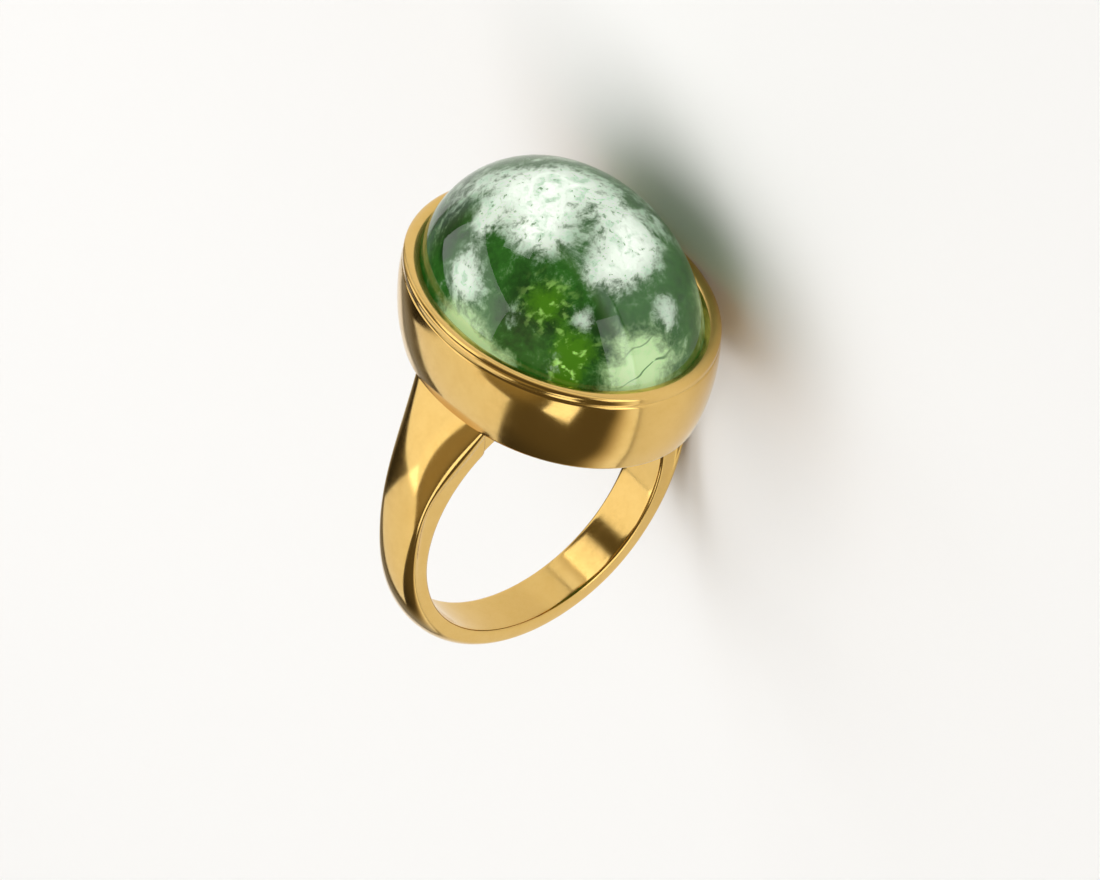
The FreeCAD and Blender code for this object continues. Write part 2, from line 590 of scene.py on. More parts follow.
@dataclass(frozen=True)
class CloudedHeart:
    """The stone's inside: deep green with pale clouds, dark specks and yellow-green zones, with
    painted light, painted glints and a painted glow.
    """

    deep: Colour = (0.006, 0.036, 0.004, 1.0)
    green: Colour = (0.024, 0.125, 0.012, 1.0)
    # Painted light: this paler, brighter green stands for light shining up through the low part of
    # the stone.
    light: Colour = (0.55, 0.73, 0.4, 1.0)
    glint: Colour = (0.055, 0.18, 0.004, 1.0)
    # Painted glints: this bright yellow-green is laid as sparkles in the yellow-green zones.
    painted_sparkle: Colour = (0.5, 0.85, 0.2, 1.0)
    cloud: Colour = (0.95, 0.99, 0.94, 1.0)
    smoke: Colour = (0.42, 0.56, 0.44, 1.0)
    # Painted glow: the heart shines with its own colour by this much, though it is no lamp.
    painted_glow: float = 0.55
    roughness: float = 0.6
    shine: float = 0.1
    broad: Noise = Noise(0.4, 9.0, 0.66, 0.6)
    fine: Noise = Noise(1.3, 7.0, 0.72, 0.3)
    speck: Noise = Noise(3.2, 5.0, 0.6)
    layer: Noise = Noise(1.0, 4.0)
    bend: Noise = Noise(0.28, 2.0)
    shade_step: Span = (-0.35, 0.5)
    painted_light_step: Span = (0.05, 1.25)
    glint_step: Span = (0.2, 0.9)
    painted_sparkle_step: Span = (0.52, 0.68)
    cover_step: Span = (0.1, 1.0)
    veil_step: Span = (0.0, 0.9)
    smoke_step: Span = (0.68, 0.42)
    speck_step: Span = (0.6, 0.68)
    speck_veil_step: Span = (0.2, 0.6)
    split_step: Span = (0.4, 0.52)
    line_step: Span = (0.07, 0.015)
    layer_turn: Triple = (0.0, 0.12, 0.65)
    layer_scale: Triple = (0.5, 2.2, 2.2)
    clouds: tuple[Patch, ...] = (
        Patch((-1.6, 2.6, 22.0), 4.4, 0.85),
        Patch((-2.9, -0.9, 21.9), 3.4, 0.85),
        Patch((-1.0, -5.0, 21.1), 3.0, 0.85),
        Patch((-4.4, 2.4, 20.4), 2.4, 0.5),
        Patch((0.6, 0.4, 22.1), 3.6, 0.65),
        Patch((0.8, -2.8, 21.6), 3.0, 0.75),
        # This cloud on the left is partly the stone's cloud and partly a painted reflection of a
        # bright window.
        Patch((-6.0, 1.4, 18.1), 3.0, 0.75),
        Patch((1.4, -4.6, 20.8), 2.6, 0.6),
        Patch((1.2, -7.6, 18.9), 2.4, 0.55),
        Patch((3.8, -1.5, 20.0), 4.5, 0.5),
        Patch((3.5, 4.5, 19.6), 4.2, 0.55),
        Patch((-2.4, 6.2, 19.6), 3.2, 0.5),
        Patch((-3.4, -6.0, 19.2), 1.3, 0.6),
        Patch((-5.0, -6.0, 16.4), 1.3, 0.5),
        Patch((-6.0, -2.6, 18.0), 1.6, 0.35),
    )
    darks: tuple[Patch, ...] = (
        Patch((-5.2, -3.4, 18.9), 3.6, 0.5),
        Patch((-3.0, -6.4, 18.4), 2.8, 0.4),
        Patch((-4.4, 5.2, 18.8), 3.0, 0.6),
        Patch((-3.6, -8.2, 15.6), 1.8, 0.3),
    )
    # Painted light: these patches low in the stone turn the ground to the paler, brighter green.
    lights: tuple[Patch, ...] = (
        Patch((-1.0, -8.5, 16.8), 3.6, 1.3),
        Patch((-6.8, 0.4, 14.9), 3.2, 2.0),
        Patch((-6.6, -2.6, 14.6), 2.6, 1.3),
        Patch((4.5, -5.5, 16.5), 4.0, 0.6),
        Patch((4.5, 5.5, 16.5), 4.5, 0.6),
    )
    # Yellow-green zones of the stone; the painted glints lie in them.
    glints: tuple[Patch, ...] = (
        Patch((-4.4, -3.9, 19.3), 2.4, 0.9),
        Patch((-4.2, -6.3, 17.5), 2.2, 1.1),
        Patch((-4.7, -6.5, 16.0), 1.5, 1.3),
        Patch((4.0, 3.0, 18.5), 2.4, 0.9),
    )

    fissured: tuple[Patch, ...] = (Patch((-0.4, -8.6, 16.6), 3.6, 1.4),)
    fissure_normal: Triple = (-0.05, 0.76, 0.64)
    fissures_per_mm: float = 1.0

    def _canvas(self, graph: Graph, soft: SoftPatch) -> Canvas:
        """Make the noises that all layers share.

        Args:
            graph: graph of the material.
            soft: group of the soft patches.

        Returns:
            The canvas, whose wisp, mottle and ripple lie about 0.
        """
        place = ring_place(graph)
        broad = graph.noise(place, self.broad)
        fine = graph.noise(place, self.fine)
        wisp = graph.math("SUBTRACT", broad, 0.5)
        mottle = graph.math("SUBTRACT", fine, 0.5)
        ripple = graph.math("MULTIPLY_ADD", mottle, 0.8, wisp)
        return Canvas(graph, soft, place, broad, fine, wisp, mottle, ripple)

    def _ground(self, canvas: Canvas) -> Socket:
        """Lay the deep green with its painted light patches, its yellow-green zones and the
        painted glints in them.

        Args:
            canvas: what the layer is drawn with.

        Returns:
            The colour below the clouds.
        """
        graph = canvas.graph
        fade = graph.math("SUBTRACT", 0.3, canvas.field(self.darks))
        shade = graph.math("MULTIPLY_ADD", canvas.ripple, 1.5, fade)
        ground = graph.blend(graph.ramp(shade, *self.shade_step), self.deep, self.green)
        # Painted light: the paler, brighter green where the light patches lie.
        lit = graph.math("MULTIPLY_ADD", canvas.ripple, 2.0, canvas.field(self.lights))
        ground = graph.blend(graph.ramp(lit, *self.painted_light_step), ground, self.light)
        glints = canvas.field(self.glints)
        warm = graph.math("MULTIPLY_ADD", canvas.mottle, 1.6, glints)
        ground = graph.blend(graph.ramp(warm, *self.glint_step), ground, self.glint)
        # Painted glints: bright sparkles laid in streaks over the yellow-green zones.
        laid = graph.node(
            "ShaderNodeMapping",
            Vector=canvas.place,
            Rotation=self.layer_turn,
            Scale=self.layer_scale,
        )
        layer = graph.noise(laid.outputs[0], self.layer)
        painted_sparkles = graph.math("MULTIPLY", glints, graph.ramp(layer, *self.painted_sparkle_step))
        return graph.blend(graph.math("MULTIPLY", painted_sparkles, 0.7), ground, self.painted_sparkle)

    def _clouded(self, canvas: Canvas, ground: Socket) -> Socket:
        """Draw the pale clouds and the dark specks in them.

        Args:
            canvas: what the layer is drawn with.
            ground: colour below the clouds.

        Returns:
            The clouded colour.
        """
        graph = canvas.graph
        cover = graph.math("MULTIPLY_ADD", canvas.ripple, 1.7, canvas.field(self.clouds))
        veil = graph.ramp(cover, *self.cover_step)
        smoky = graph.math("MULTIPLY_ADD", canvas.wisp, 0.6, canvas.fine)
        white = graph.blend(graph.ramp(smoky, *self.smoke_step), self.smoke, self.cloud)
        colour = graph.blend(graph.ramp(veil, *self.veil_step), ground, white)
        specks = graph.ramp(graph.noise(canvas.place, self.speck), *self.speck_step)
        specks = graph.math("MULTIPLY", specks, graph.ramp(veil, *self.speck_veil_step))
        return graph.blend(graph.math("MULTIPLY", specks, 0.75), colour, self.green)

    def _fissures(self, canvas: Canvas, colour: Socket) -> Socket:
        """Draw thin, nearly parallel fissures where the stone is fissured.

        Args:
            canvas: what the layer is drawn with.
            colour: colour without fissures.

        Returns:
            The colour with fissures.
        """
        graph = canvas.graph
        across = graph.node(
            "ShaderNodeVectorMath",
            {"operation": "DOT_PRODUCT"},
            in_0=canvas.place,
            in_1=self.fissure_normal,
        )
        spaced = graph.math("MULTIPLY", across.outputs["Value"], self.fissures_per_mm)
        layers = graph.math("MULTIPLY_ADD", graph.noise(canvas.place, self.bend), 3.0, spaced)
        apart = graph.math("ABSOLUTE", graph.math("SUBTRACT", graph.math("FRACT", layers), 0.5))
        broken = graph.ramp(canvas.broad, *self.split_step)
        split = graph.math("MULTIPLY", canvas.field(self.fissured), broken)
        line = graph.math("MULTIPLY", graph.ramp(apart, *self.line_step), split)
        return graph.blend(graph.math("MULTIPLY", line, 0.7), colour, self.green)

    def build(self, soft: SoftPatch) -> bpy.types.Material:
        """Make the material.

        Args:
            soft: group of the soft patches.

        Returns:
            The stone's inside.
        """
        material, graph, shader = new_material("clouded_green_heart")
        canvas = self._canvas(graph, soft)
        colour = self._fissures(canvas, self._clouded(canvas, self._ground(canvas)))
        graph.feed(
            shader,
            Base_Color=colour,
            # Painted glow: the heart's colour also shines as emission.
            Emission_Color=colour,
            Emission_Strength=self.painted_glow,
            Roughness=self.roughness,
            Specular_IOR_Level=self.shine,
        )
        return material


class OvalSweep:
    """Geometry Nodes tree: carries a profile round an oval and closes the surface.

    A profile point holds how far across and along the oval runs there, and its height.
    """

    def __init__(self) -> None:
        """Build the tree once."""
        tree = bpy.data.node_groups.new("oval_sweep", "GeometryNodeTree")
        face = tree.interface
        face.new_socket("Profile", in_out="INPUT", socket_type="NodeSocketGeometry")
        self.keys: dict[str, str] = {}
        for name, kind in (
            ("Profile Points", "NodeSocketInt"),
            ("Steps Around", "NodeSocketInt"),
            ("Finish", "NodeSocketMaterial"),
        ):
            made = face.new_socket(name, in_out="INPUT", socket_type=kind)
            self.keys[name] = made.identifier
        face.new_socket("Surface", in_out="OUTPUT", socket_type="NodeSocketGeometry")
        graph = Graph(tree)
        given = graph.node("NodeGroupInput")
        points = given.outputs["Profile Points"]
        steps = given.outputs["Steps Around"]
        grid = graph.node(
            "GeometryNodeMeshGrid", Vertices_X=graph.math("ADD", steps, 1.0), Vertices_Y=points
        )
        index = graph.node("GeometryNodeInputIndex").outputs[0]
        # Half an index and a quarter keep both roundings clear of whole numbers.
        row = graph.math("FLOOR", graph.math("DIVIDE", graph.math("ADD", index, 0.5), points))
        column = graph.math("SUBTRACT", index, graph.math("MULTIPLY", row, points))
        angle = graph.math("MULTIPLY", graph.math("DIVIDE", row, steps), math.tau)
        sample = graph.node(
            "GeometryNodeSampleIndex",
            {"data_type": "FLOAT_VECTOR", "domain": "POINT"},
            Geometry=given.outputs["Profile"],
            Value=graph.node("GeometryNodeInputPosition").outputs[0],
            Index=graph.math("ADD", column, 0.25),
        )
        reach = graph.node("ShaderNodeSeparateXYZ", Vector=sample.outputs[0])
        across = graph.math("MULTIPLY", reach.outputs[0], graph.math("COSINE", angle))
        along = graph.math("MULTIPLY", reach.outputs[1], graph.math("SINE", angle))
        spot = graph.node("ShaderNodeCombineXYZ", X=across, Y=along, Z=reach.outputs[2])
        moved = graph.node(
            "GeometryNodeSetPosition", Geometry=grid.outputs[0], Position=spot.outputs[0]
        )
        closed = graph.node(
            "GeometryNodeMergeByDistance", Geometry=moved.outputs[0], Distance=SWEEP_WELD_MM
        )
        real = graph.node("GeometryNodeRealizeInstances", Geometry=closed.outputs[0])
        dressed = graph.node(
            "GeometryNodeSetMaterial", Geometry=real.outputs[0], Material=given.outputs["Finish"]
        )
        graph.node("NodeGroupOutput", Surface=dressed.outputs[0])
        self.tree = tree

    def sweep(
        self, name: str, profile: Sequence[Vector], steps: int, finish: bpy.types.Material
    ) -> bpy.types.Object:
        """Carry a profile round its oval.

        Args:
            name: name of the piece.
            profile: points of across, along and height, in mm.
            steps: pieces around the oval.
            finish: material of the surface.

        Returns:
            A plain mesh object, laid down with the ring.
        """
        line = bpy.data.meshes.new(name + "_profile")
        line.from_pydata(list(profile), [(i, i + 1) for i in range(len(profile) - 1)], [])
        carrier = bpy.data.objects.new(name + "_profile", line)
        bpy.context.collection.objects.link(carrier)
        modifier = carrier.modifiers.new("oval_sweep", "NODES")
        modifier.node_group = self.tree
        modifier[self.keys["Profile Points"]] = len(profile)
        modifier[self.keys["Steps Around"]] = steps
        modifier[self.keys["Finish"]] = finish
        depsgraph = bpy.context.evaluated_depsgraph_get()
        evaluated = carrier.evaluated_get(depsgraph)
        mesh = bpy.data.meshes.new_from_object(evaluated, depsgraph=depsgraph)
        bpy.data.objects.remove(carrier)
        bpy.data.meshes.remove(line)
        return finish_piece(name, mesh, finish)


def finish_piece(
    name: str, mesh: bpy.types.Mesh, finish: bpy.types.Material
) -> bpy.types.Object:
    """Turn an upright mesh into a finished piece of the resting ring.

    Args:
        name: name of the piece.
        mesh: closed mesh in upright millimetres.
        finish: its material.

    Returns:
        The object, smooth, with normals outwards and its place in its mesh.
    """
    mesh.name = name
    shape = bmesh.new()
    shape.from_mesh(mesh)
    bmesh.ops.remove_doubles(shape, verts=shape.verts, dist=PIECE_WELD_MM)
    bmesh.ops.recalc_face_normals(shape, faces=shape.faces)
    for face in shape.faces:
        face.smooth = True
        face.material_index = 0
    shape.to_mesh(mesh)
    shape.free()
    mesh.transform(POSE.matrix())
    mesh.materials.clear()
    mesh.materials.append(finish)
    mesh.update()
    piece = bpy.data.objects.new(name, mesh)
    bpy.context.collection.objects.link(piece)
    LOG.info("%s: %d faces", name, len(mesh.polygons))
    return piece


def loft(
    name: str, rings: Sequence[Sequence[Vector]], finish: bpy.types.Material
) -> bpy.types.Object:
    """Skin closed rings of equal length and close both ends.

    Args:
        name: name of the piece.
        rings: closed rings of points in upright millimetres.
        finish: its material.

    Returns:
        The finished piece.
    """
    size = len(rings[0])
    points = [point for ring in rings for point in ring]
    faces = []
    for i in range(len(rings) - 1):
        for k in range(size):
            n = (k + 1) % size
            faces.append((i * size + k, i * size + n, (i + 1) * size + n, (i + 1) * size + k))
    faces.append(tuple(range(size)))
    faces.append(tuple(range((len(rings) - 1) * size, len(rings) * size)))
    mesh = bpy.data.meshes.new(name)
    mesh.from_pydata(points, [], faces)
    return finish_piece(name, mesh, finish)


@dataclass
class StoneSizes:
    """Sizes of the stone and its seat in mm."""

    half_across: float = 7.5
    half_along: float = 10.0
    dome: float = 8.95
    girdle_up: float = 14.2
    base: float = 1.3
    gap: float = 0.08


@dataclass
class Cabochon:
    """The stone: a clear skin over a clouded heart."""

    sizes: StoneSizes = field(default_factory=StoneSizes)
    skin: float = 0.55
    edge: float = 0.06
    back_step: float = 0.35
    steps_up: int = 110
    steps_around: int = 288
    heart_steps_around: int = 192

    def profile(self, inset: float) -> list[Vector]:
        """Return the outline from the top of the dome to the middle of the flat back.

        Args:
            inset: how far inside the stone's surface it runs.

        Returns:
            Points of across, along and height.
        """
        s = self.sizes
        base = s.base - inset
        low = -math.asin(base / (s.dome - inset))
        points = []
        for i in range(self.steps_up + 1):
            angle = math.pi / 2 + (low - math.pi / 2) * i / self.steps_up
            points.append(
                Vector(
                    (
                        (s.half_across - inset) * math.cos(angle),
                        (s.half_along - inset) * math.cos(angle),
                        s.girdle_up + (s.dome - inset) * math.sin(angle),
                    )
                )
            )
        points[0].x = points[0].y = 0.0
        edge = points[-1]
        centre = Vector((0.0, 0.0, edge.z))
        back = rounded_path(
            [(points[-2], 0.0), (edge, self.edge), (centre, 0.0)], self.back_step
        )
        return points[:-1] + back[1:]

    def build(
        self, sweep: OvalSweep, skin: bpy.types.Material, heart: bpy.types.Material
    ) -> list[bpy.types.Object]:
        """Build both pieces.

        Args:
            sweep: tree that carries a profile round an oval.
            skin: material of the skin.
            heart: material of the heart.

        Returns:
            The skin and the heart.
        """
        outside = sweep.sweep("cabochon_skin", self.profile(0.0), self.steps_around, skin)
        inside = sweep.sweep(
            "cabochon_heart", self.profile(self.skin), self.heart_steps_around, heart
        )
        for piece in (outside, inside):
            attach(piece, BODY)
            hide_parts(Node.STONE.value)
        return [outside, inside]


@dataclass
class BezelCup:
    """The bezel: a leaning, barrel-shaped wall, a thin crease, a round bead and the seat."""

    stone: StoneSizes = field(default_factory=StoneSizes)
    crease_across: float = 8.5
    crease_along: float = 10.65
    gallery_across: float = 6.3
    gallery_along: float = 8.85
    foot_up: float = 10.25
    foot_inset: float = 0.66
    wall: tuple[Span, ...] = (
        (10.4, 0.48),
        (11.4, 0.2),
        (12.6, 0.0),
        (13.8, -0.09),
        (14.8, -0.08),
        (15.38, -0.01),
    )
    groove: tuple[Span, ...] = ((15.42, 0.06), (15.46, 0.1), (15.5, 0.06))
    bead: tuple[Span, ...] = (
        (15.54, -0.02),
        (15.68, -0.01),
        (15.86, 0.0),
        (16.03, 0.16),
        (16.11, 0.38),
        (16.08, 0.62),
        (15.97, 0.84),
        (15.82, 1.0),
    )
    foot_edge: float = 0.07
    seat_edge: float = 0.1
    gallery_edge: float = 0.12
    pocket_top: float = 15.8
    under_step: float = 0.12
    inner_step: float = 0.16
    wall_points: int = 44
    bead_points: int = 40
    pocket_steps: int = 22
    steps_around: int = 320

    def at(self, up: float, inset: float) -> Vector:
        """Find a profile point.

        Args:
            up: height.
            inset: how far inside the crease oval it lies.

        Returns:
            The point.
        """
        return Vector((self.crease_across - inset, self.crease_along - inset, up))

    def pocket(self, up: float) -> Vector:
        """Find a profile point on the wall of the stone's seat.

        Args:
            up: height.

        Returns:
            The point.
        """
        s = self.stone
        share = math.sqrt(1 - ((up - s.girdle_up) / (s.dome + s.gap)) ** 2)
        return Vector(((s.half_across + s.gap) * share, (s.half_along + s.gap) * share, up))

    def _curve(self, rows: Sequence[Span], count: int) -> list[Vector]:
        """Run a smooth curve through some rows.

        Args:
            rows: rows of height and inset.
            count: number of points on the curve.

        Returns:
            Profile points from the first row to the last.
        """
        knots = [0.0]
        for (up, inset), (next_up, next_inset) in zip(rows, rows[1:]):
            knots.append(knots[-1] + math.hypot(next_up - up, next_inset - inset))
        at = np.linspace(0.0, knots[-1], count)
        ups = smooth_curve(knots, [row[0] for row in rows], at)
        insets = smooth_curve(knots, [row[1] for row in rows], at)
        return [self.at(float(up), float(inset)) for up, inset in zip(ups, insets)]

    def profile(self) -> list[Vector]:
        """Return the closed outline of the cup's section."""
        gallery = Vector((self.gallery_across, self.gallery_along, self.foot_up))
        floor_up = self.stone.girdle_up - self.stone.base - self.stone.gap
        foot = self.at(self.foot_up, self.foot_inset)
        middle = gallery.lerp(foot, 0.5)
        wall = self._curve(self.wall, self.wall_points)
        under = rounded_path(
            [(middle, 0.0), (foot, self.foot_edge), (wall[0], 0.0)], self.under_step
        )
        groove = [self.at(up, inset) for up, inset in self.groove]
        bead = self._curve(self.bead, self.bead_points)
        deep = self.pocket_top - floor_up
        pocket = [
            self.pocket(self.pocket_top - deep * i / self.pocket_steps)
            for i in range(self.pocket_steps + 1)
        ]
        seat = Vector((self.gallery_across, self.gallery_along, floor_up))
        inner = rounded_path(
            [
                (pocket[-1], 0.0),
                (seat, self.seat_edge),
                (gallery, self.gallery_edge),
                (middle, 0.0),
            ],
            self.inner_step,
        )
        return under[:-1] + wall + groove + bead + pocket[:-1] + inner

    def build(self, sweep: OvalSweep, gold: bpy.types.Material) -> bpy.types.Object:
        """Build the cup.

        Args:
            sweep: tree that carries a profile round an oval.
            gold: its material.

        Returns:
            The cup.
        """
        cup = sweep.sweep("bezel_cup", self.profile(), self.steps_around, gold)
        return dress_gold(cup)


def dress_gold(piece: bpy.types.Object) -> bpy.types.Object:
    """Say that a gold piece stands for the mount and moves with it.

    Args:
        piece: the gold piece.

    Returns:
        The same piece.
    """
    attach(piece, BODY)
    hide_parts(Node.MOUNT.value)
    return piece


@dataclass(frozen=True)
class BandSection:
    """One section of the band: its place, its turn in degrees and its sizes in mm."""

    across: float
    up: float
    turn: float
    thick: float
    wide: float
    deep: float


@dataclass
class Band:
    """The band and its two arms: a domed outside on flat sides, with soft edges."""

    finger_radius: float = 8.65
    half_width: float = 1.6
    edge: float = 0.28
    groove: float = 0.32
    sections: tuple[BandSection, ...] = (
        BandSection(0.0, -9.3, 0.0, 0.85, 1.6, 1.1),
        BandSection(6.0, -7.15, 40.0, 0.83, 1.61, 1.13),
        BandSection(9.14, -2.45, 75.0, 0.8, 1.65, 1.26),
        BandSection(9.85, 1.04, 96.0, 0.6, 1.76, 1.7),
        BandSection(9.48, 5.0, 104.0, 0.6, 2.08, 3.0),
        BandSection(8.14, 8.0, 108.0, 1.04, 2.8, 2.8),
        BandSection(7.1, 10.65, 104.0, 0.76, 3.45, 0.7),
    )
    least_side: float = 0.05
    edge_share: float = 0.45
    least_speed: float = 0.3
    steps_flat: int = 6
    steps_side: int = 5
    steps_round: int = 6
    steps_along: int = 300
    steps_over: int = 52

    def inner_depth(self, section: BandSection) -> float:
        """Find how far inwards a section reaches before the finger hole or its foot.

        Args:
            section: sizes of the section.

        Returns:
            The depth below the section's centre.
        """
        turn = math.radians(section.turn)
        outwards = Vector((math.sin(turn), -math.cos(turn)))
        centre = Vector((section.across, section.up))
        along = centre.dot(outwards)
        rest = along**2 - centre.length_squared + self.finger_radius**2
        if rest < 0:
            return section.deep
        return min(section.deep, along - math.sqrt(rest))

    def outline(self, section: BandSection) -> list[Span]:
        """Draw the right half of a section, from the middle of the inside to the top.

        Args:
            section: sizes of the section.

        Returns:
            Points along the finger and outwards.
        """
        depth = self.inner_depth(section)
        sweep = math.acos(min(1.0, self.half_width / section.wide))
        corner = -section.thick * math.sin(sweep)
        side = max(self.least_side, corner + depth)
        edge = min(self.edge, self.edge_share * side)
        fillet = min(self.groove, self.edge_share * side)
        inner = self.half_width - self.edge
        points = [(inner * i / self.steps_flat, -depth) for i in range(self.steps_flat)]
        for i in range(self.steps_round + 1):
            s = i / self.steps_round
            points.append((inner + self.edge * (1 - (1 - s) ** 2), -depth + edge * s**2))
        low = -depth + edge
        high = corner - fillet
        for i in range(1, self.steps_side):
            points.append((self.half_width, low + (high - low) * i / self.steps_side))
        speed = math.hypot(section.wide * math.sin(sweep), section.thick * math.cos(sweep))
        start = -sweep + fillet / max(speed, self.least_speed)
        end = (section.wide * math.cos(start), section.thick * math.sin(start))
        for i in range(self.steps_round + 1):
            s = i / self.steps_round
            along = self.half_width * (1 - s**2) + end[0] * s**2
            outwards = high * (1 - s) ** 2 + 2 * corner * s * (1 - s) + end[1] * s**2
            points.append((along, outwards))
        for i in range(1, self.steps_over // 2 + 1):
            angle = start + (math.pi / 2 - start) * i / (self.steps_over // 2)
            points.append((section.wide * math.cos(angle), section.thick * math.sin(angle)))
        return points

    def stations(self) -> list[BandSection]:
        """Return closely spaced sections from the left root to the right one."""
        left = [
            BandSection(-s.across, s.up, -s.turn, s.thick, s.wide, s.deep)
            for s in reversed(self.sections[1:])
        ]
        rows = left + list(self.sections)
        knots = [0.0]
        for a, b in zip(rows, rows[1:]):
            knots.append(knots[-1] + math.hypot(b.across - a.across, b.up - a.up))
        at = np.linspace(0.0, knots[-1], self.steps_along + 1)
        columns = [
            smooth_curve(knots, [getattr(row, name) for row in rows], at)
            for name in ("across", "up", "turn", "thick", "wide", "deep")
        ]
        return [BandSection(*(float(value) for value in row)) for row in zip(*columns)]

    def build(self, gold: bpy.types.Material) -> bpy.types.Object:
        """Build the band.

        Args:
            gold: its material.

        Returns:
            The band.
        """
        rings = []
        for section in self.stations():
            half = self.outline(section)
            whole = half + [(-v, w) for v, w in reversed(half[1:-1])]
            turn = math.radians(section.turn)
            outwards = Vector((math.sin(turn), 0.0, -math.cos(turn)))
            centre = Vector((section.across, 0.0, section.up))
            rings.append([centre + outwards * w + Vector((0.0, v, 0.0)) for v, w in whole])
        return dress_gold(loft("band", rings, gold))


@dataclass
class Bridge:
    """The plain bar that carries the band across the open back of the cup."""

    finger_radius: float = 8.65
    half_width: float = 1.45
    half_length: float = 6.25
    top_up: float = 10.7
    edge: float = 0.22
    clearance: float = 0.002
    steps: int = 72
    steps_round: int = 6

    def build(self, gold: bpy.types.Material) -> bpy.types.Object:
        """Build the bridge.

        Args:
            gold: its material.

        Returns:
            The bridge.
        """
        rings = []
        for i in range(self.steps + 1):
            across = self.half_length * (2 * i / self.steps - 1)
            low = math.sqrt(self.finger_radius**2 - across**2) + self.clearance
            corners = [
                (Vector((0.0, 0.0, low)), 0.0),
                (Vector((0.0, self.half_width, low)), self.edge),
                (Vector((0.0, self.half_width, self.top_up)), self.edge),
                (Vector((0.0, 0.0, self.top_up)), 0.0),
            ]
            half = self._even(corners)
            whole = half + [Vector((0.0, -p.y, p.z)) for p in reversed(half[1:-1])]
            rings.append([Vector((across, p.y, p.z)) for p in whole])
        return dress_gold(loft("bridge", rings, gold))

    def _even(self, corners: Sequence[tuple[Vector, float]]) -> list[Vector]:
        """Round a path with the same number of points whatever its height.

        Args:
            corners: the four corners from the middle of the inside to the middle of the top.

        Returns:
            Points from the first corner to the last.
        """
        flat, turn, up, back = (corner for corner, _ in corners)
        steps = self.steps_round
        reach = 1 - self.edge / self.half_width
        path = [flat.lerp(turn, reach * i / steps) for i in range(steps)]
        for corner, before, after in ((turn, flat, up), (up, turn, back)):
            start = corner.lerp(before, self.edge / (before - corner).length)
            end = corner.lerp(after, self.edge / (after - corner).length)
            if corner is up:
                path += [path[-1].lerp(start, i / steps) for i in range(1, steps)]
            for i in range(steps + 1):
                s = i / steps
                path.append(start.lerp(corner, s).lerp(corner.lerp(end, s), s))
        path += [path[-1].lerp(back, i / steps) for i in range(1, steps + 1)]
        return path


@dataclass(frozen=True)
class Softbox:
    """A studio light: its direction and tip in degrees, its size in m and its brightness."""

    name: str
    azimuth: float
    elevation: float
    wide: float
    tall: float
    brightness: float
    away: float = 0.32
    mirrored: bool = True


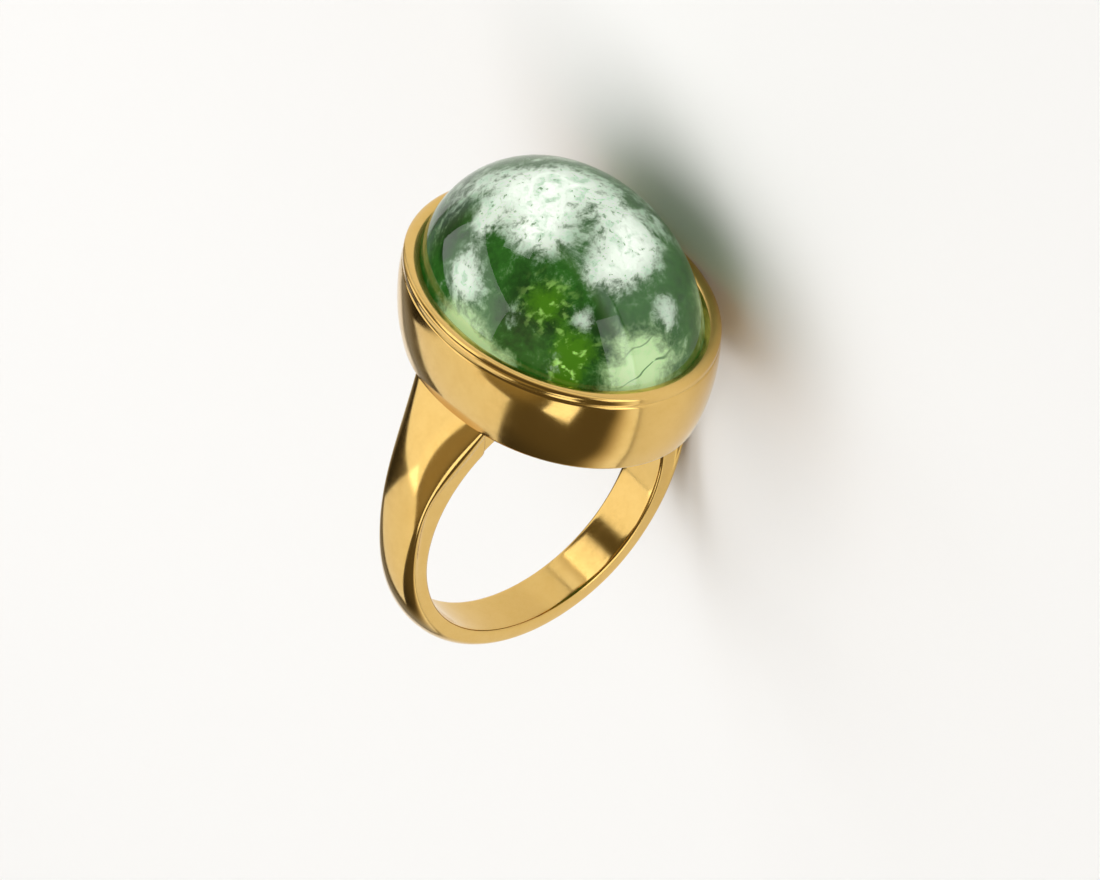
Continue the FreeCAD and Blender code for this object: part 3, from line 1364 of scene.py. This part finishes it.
@dataclass
class Studio:
    """Floor, soft lights and the camera."""

    centre: Triple = (0.0, 0.0, 0.01)
    floor_half: float = 4.0
    floor_colour: Colour = (0.82, 0.827, 0.84, 1.0)
    floor_wear: Wear = Wear(0.5, 0.6, 0.2, 0.0)
    floor_shine: float = 0.2
    lights: tuple[Softbox, ...] = (
        Softbox("back_left", 143.0, 44.0, 0.22, 0.3, 0.97),
        Softbox("left_window", 80.0, 46.0, 0.21, 0.34, 1.18),
        Softbox("small_patch", -120.0, 51.0, 0.15, 0.09, 1.6),
        Softbox("front_right", -75.0, 14.0, 0.36, 0.14, 1.25),
        Softbox("front_left", 32.0, 23.0, 0.11, 0.12, 1.45),
        Softbox("ceiling", 0.0, 88.0, 0.8, 0.8, 1.5, away=0.5, mirrored=False),
    )
    horizon: float = 1.1
    zenith: float = 0.11
    crown_gain: float = 0.24
    horizon_tint: Colour = (1.0, 1.0, 1.0, 1.0)
    zenith_tint: Colour = (1.0, 0.8, 0.45, 1.0)
    corner: Triple = (0.74, 0.67, 0.0)
    corner_gain: float = 0.25
    fade: Span = (0.06, 0.36)
    crown: Span = (0.84, 1.0)
    corner_step: Span = (0.3, 0.95)
    camera_azimuth: float = 42.57
    camera_elevation: float = 39.26
    camera_roll: float = 8.76
    camera_away: float = 500.0
    camera_aim: Triple = (0.0, 0.0, 5.0)
    camera_slide: tuple[float, float] = (0.579, -0.446)
    lens: float = 277.41

    def build(self, haze: HandlingHaze) -> None:
        """Set up the whole studio.

        Args:
            haze: group of the handling marks, which the floor uses too.
        """
        self._floor(haze)
        self._world()
        for light in self.lights:
            self._light(light)
        self._camera()
        bpy.context.scene.view_settings.view_transform = "Standard"

    def _floor(self, haze: HandlingHaze) -> None:
        """Lay a plain pale floor.

        Args:
            haze: group of the handling marks.
        """
        mesh = bpy.data.meshes.new("floor")
        half = self.floor_half
        corners = [(-half, -half, 0), (half, -half, 0), (half, half, 0), (-half, half, 0)]
        mesh.from_pydata(corners, [], [(0, 1, 2, 3)])
        floor = bpy.data.objects.new("floor", mesh)
        bpy.context.collection.objects.link(floor)
        material, graph, shader = new_material("pale_floor")
        worn = haze.add(graph, self.floor_wear)
        graph.feed(
            shader,
            Roughness=worn.outputs["Roughness"],
            Base_Color=self.floor_colour,
            Specular_IOR_Level=self.floor_shine,
        )
        mesh.materials.append(material)

    def _world(self) -> None:
        """Fill the room with grey that is lighter towards the horizon."""
        world = bpy.data.worlds.new("studio")
        world.use_nodes = True
        graph = Graph(world.node_tree)
        coords = graph.node("ShaderNodeTexCoord")
        height = graph.node("ShaderNodeSeparateXYZ", Vector=coords.outputs["Generated"])
        share = graph.ramp(height.outputs["Z"], *self.fade)
        gain = graph.math("MULTIPLY_ADD", share, self.zenith - self.horizon, self.horizon)
        crown = graph.ramp(height.outputs["Z"], *self.crown)
        gain = graph.math("MULTIPLY_ADD", crown, self.crown_gain, gain)
        facing = graph.node(
            "ShaderNodeVectorMath",
            {"operation": "DOT_PRODUCT"},
            in_0=coords.outputs["Generated"],
            in_1=self.corner,
        )
        dim = graph.ramp(facing.outputs["Value"], *self.corner_step)
        gain = graph.math(
            "MULTIPLY", gain, graph.math("MULTIPLY_ADD", dim, self.corner_gain - 1.0, 1.0)
        )
        tint = graph.blend(share, self.horizon_tint, self.zenith_tint)
        graph.feed(world.node_tree.nodes["Background"], Color=tint, Strength=gain)
        bpy.context.scene.world = world

    def _light(self, box: Softbox) -> None:
        """Hang one softbox, turned to the ring.

        Args:
            box: place, size and brightness of the light.
        """
        azimuth = math.radians(box.azimuth)
        elevation = math.radians(box.elevation)
        towards = Vector(
            (
                math.sin(azimuth) * math.cos(elevation),
                -math.cos(azimuth) * math.cos(elevation),
                math.sin(elevation),
            )
        )
        data = bpy.data.lights.new(box.name, "AREA")
        data.shape = "RECTANGLE"
        data.size = box.wide
        data.size_y = box.tall
        data.energy = box.brightness * math.pi * box.wide * box.tall
        lamp = bpy.data.objects.new(box.name, data)
        lamp.location = Vector(self.centre) + towards * box.away
        lamp.rotation_euler = towards.to_track_quat("Z", "Y").to_euler()
        lamp.visible_camera = False
        lamp.visible_glossy = box.mirrored
        bpy.context.collection.objects.link(lamp)

    def _camera(self) -> None:
        """Stand the camera where the photograph was taken from."""
        azimuth = math.radians(self.camera_azimuth)
        elevation = math.radians(self.camera_elevation)
        roll = math.radians(self.camera_roll)
        back = Vector(
            (
                -math.sin(azimuth) * math.cos(elevation),
                -math.cos(azimuth) * math.cos(elevation),
                math.sin(elevation),
            )
        )
        level = Vector((math.cos(azimuth), -math.sin(azimuth), 0.0))
        upright = back.cross(level)
        right = level * math.cos(roll) + upright * math.sin(roll)
        up = upright * math.cos(roll) - level * math.sin(roll)
        slide_right, slide_up = self.camera_slide
        place = Vector(self.camera_aim) + back * self.camera_away
        place += right * slide_right + up * slide_up
        turn = POSE.turned().to_matrix()
        data = bpy.data.cameras.new("camera")
        data.lens = self.lens
        data.sensor_width = 36.0
        data.clip_start = 0.01
        data.clip_end = 50.0
        camera = bpy.data.objects.new("camera", data)
        axes = Matrix((turn @ right, turn @ up, turn @ back)).transposed()
        camera.matrix_world = Matrix.Translation(POSE.matrix() @ place) @ axes.to_4x4()
        bpy.context.collection.objects.link(camera)
        bpy.context.scene.camera = camera


def main() -> None:
    """Build the ring and its studio."""
    logging.basicConfig(level=logging.INFO, format="%(name)s: %(message)s")
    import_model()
    haze = HandlingHaze()
    gold = PolishedGold().build(haze)
    skin = ClearSkin().build(haze)
    heart = CloudedHeart().build(SoftPatch())
    sweep = OvalSweep()
    Studio().build(haze)
    BezelCup().build(sweep, gold)
    Band().build(gold)
    Bridge().build(gold)
    Cabochon().build(sweep, skin, heart)


if __name__ == "__main__":
    main()
